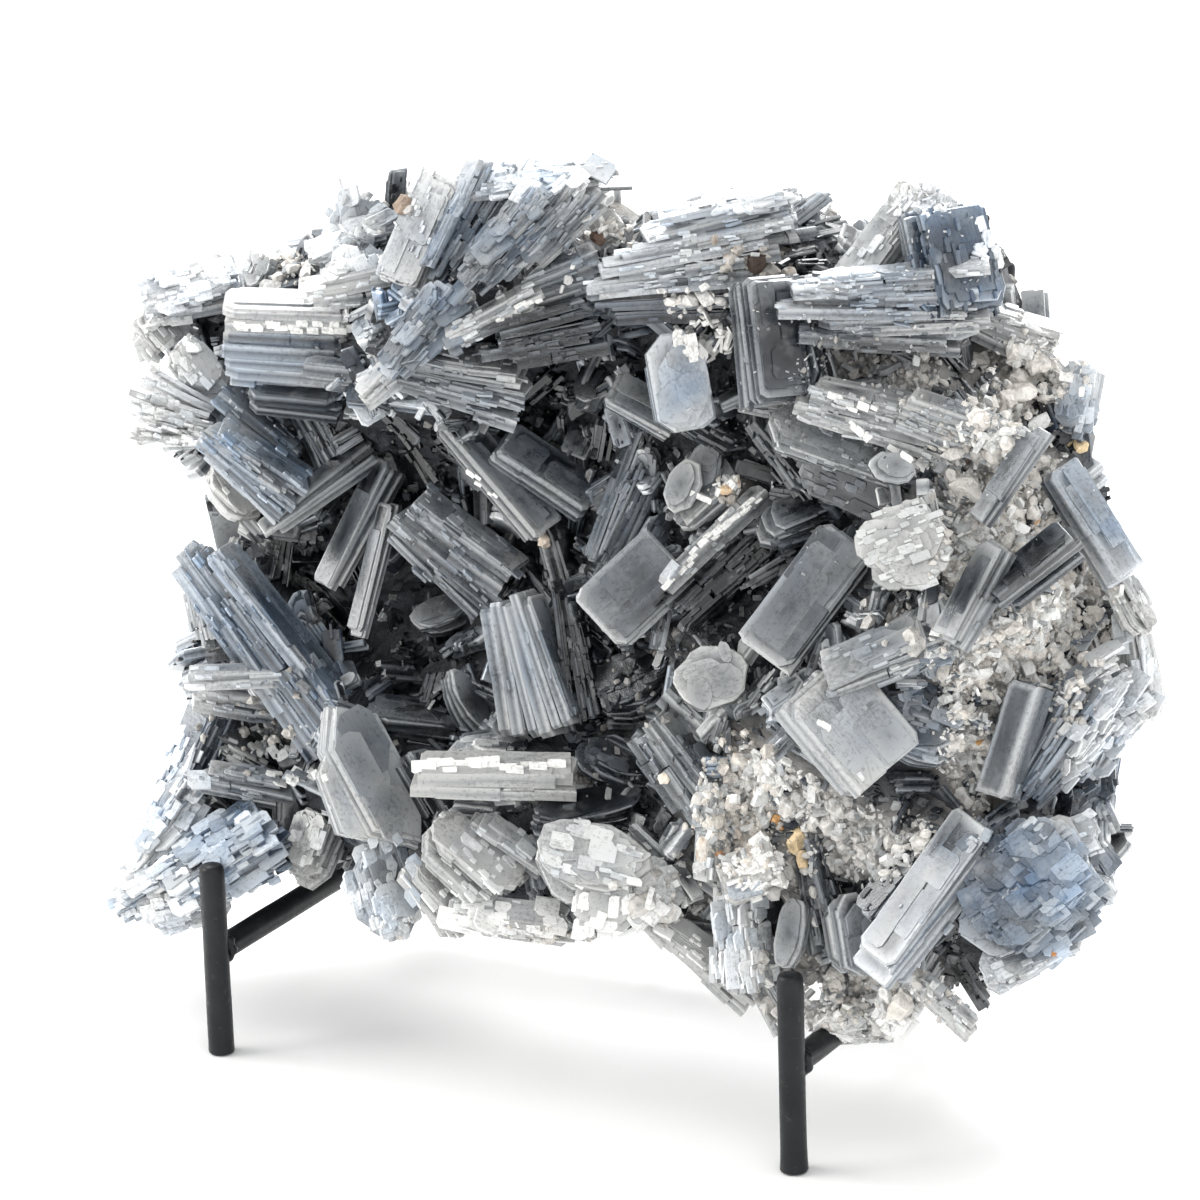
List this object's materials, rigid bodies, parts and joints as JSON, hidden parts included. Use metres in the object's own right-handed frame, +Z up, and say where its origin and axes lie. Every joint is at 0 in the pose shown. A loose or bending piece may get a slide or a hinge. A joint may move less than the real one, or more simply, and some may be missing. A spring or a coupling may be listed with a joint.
{
  "type": "crystal cluster on easel stand",
  "caption": "Natural cluster of bladed grey-blue barite crystals on a pale matrix, resting on the arms of a low black iron rod easel that leans it back for display.",
  "frame": {"origin": "on the surface the easel stands on, under the middle of the whole object's bounding box", "axes": "-Y is the front, which the crystals face; +X is the easel's right-hand side as seen from the front; +Z is up"},
  "size_m": [0.2328, 0.1564, 0.1795],
  "materials": {
    "barite": "glossy translucent grey-blue crystal, paler at thin edges, with a rough pale matrix",
    "black_iron": "satin black paint on welded iron rod, slightly worn"
  },
  "bodies": {
    "root": {"barite_cluster": "barite", "front_post_left": "black_iron", "front_post_right": "black_iron", "arm_left": "black_iron", "arm_right": "black_iron", "upright_left": "black_iron", "upright_right": "black_iron", "cross_bar_lower": "black_iron", "cross_bar_upper": "black_iron", "rear_strut": "black_iron", "strut_tie": "black_iron"}
  },
  "joints": []
}
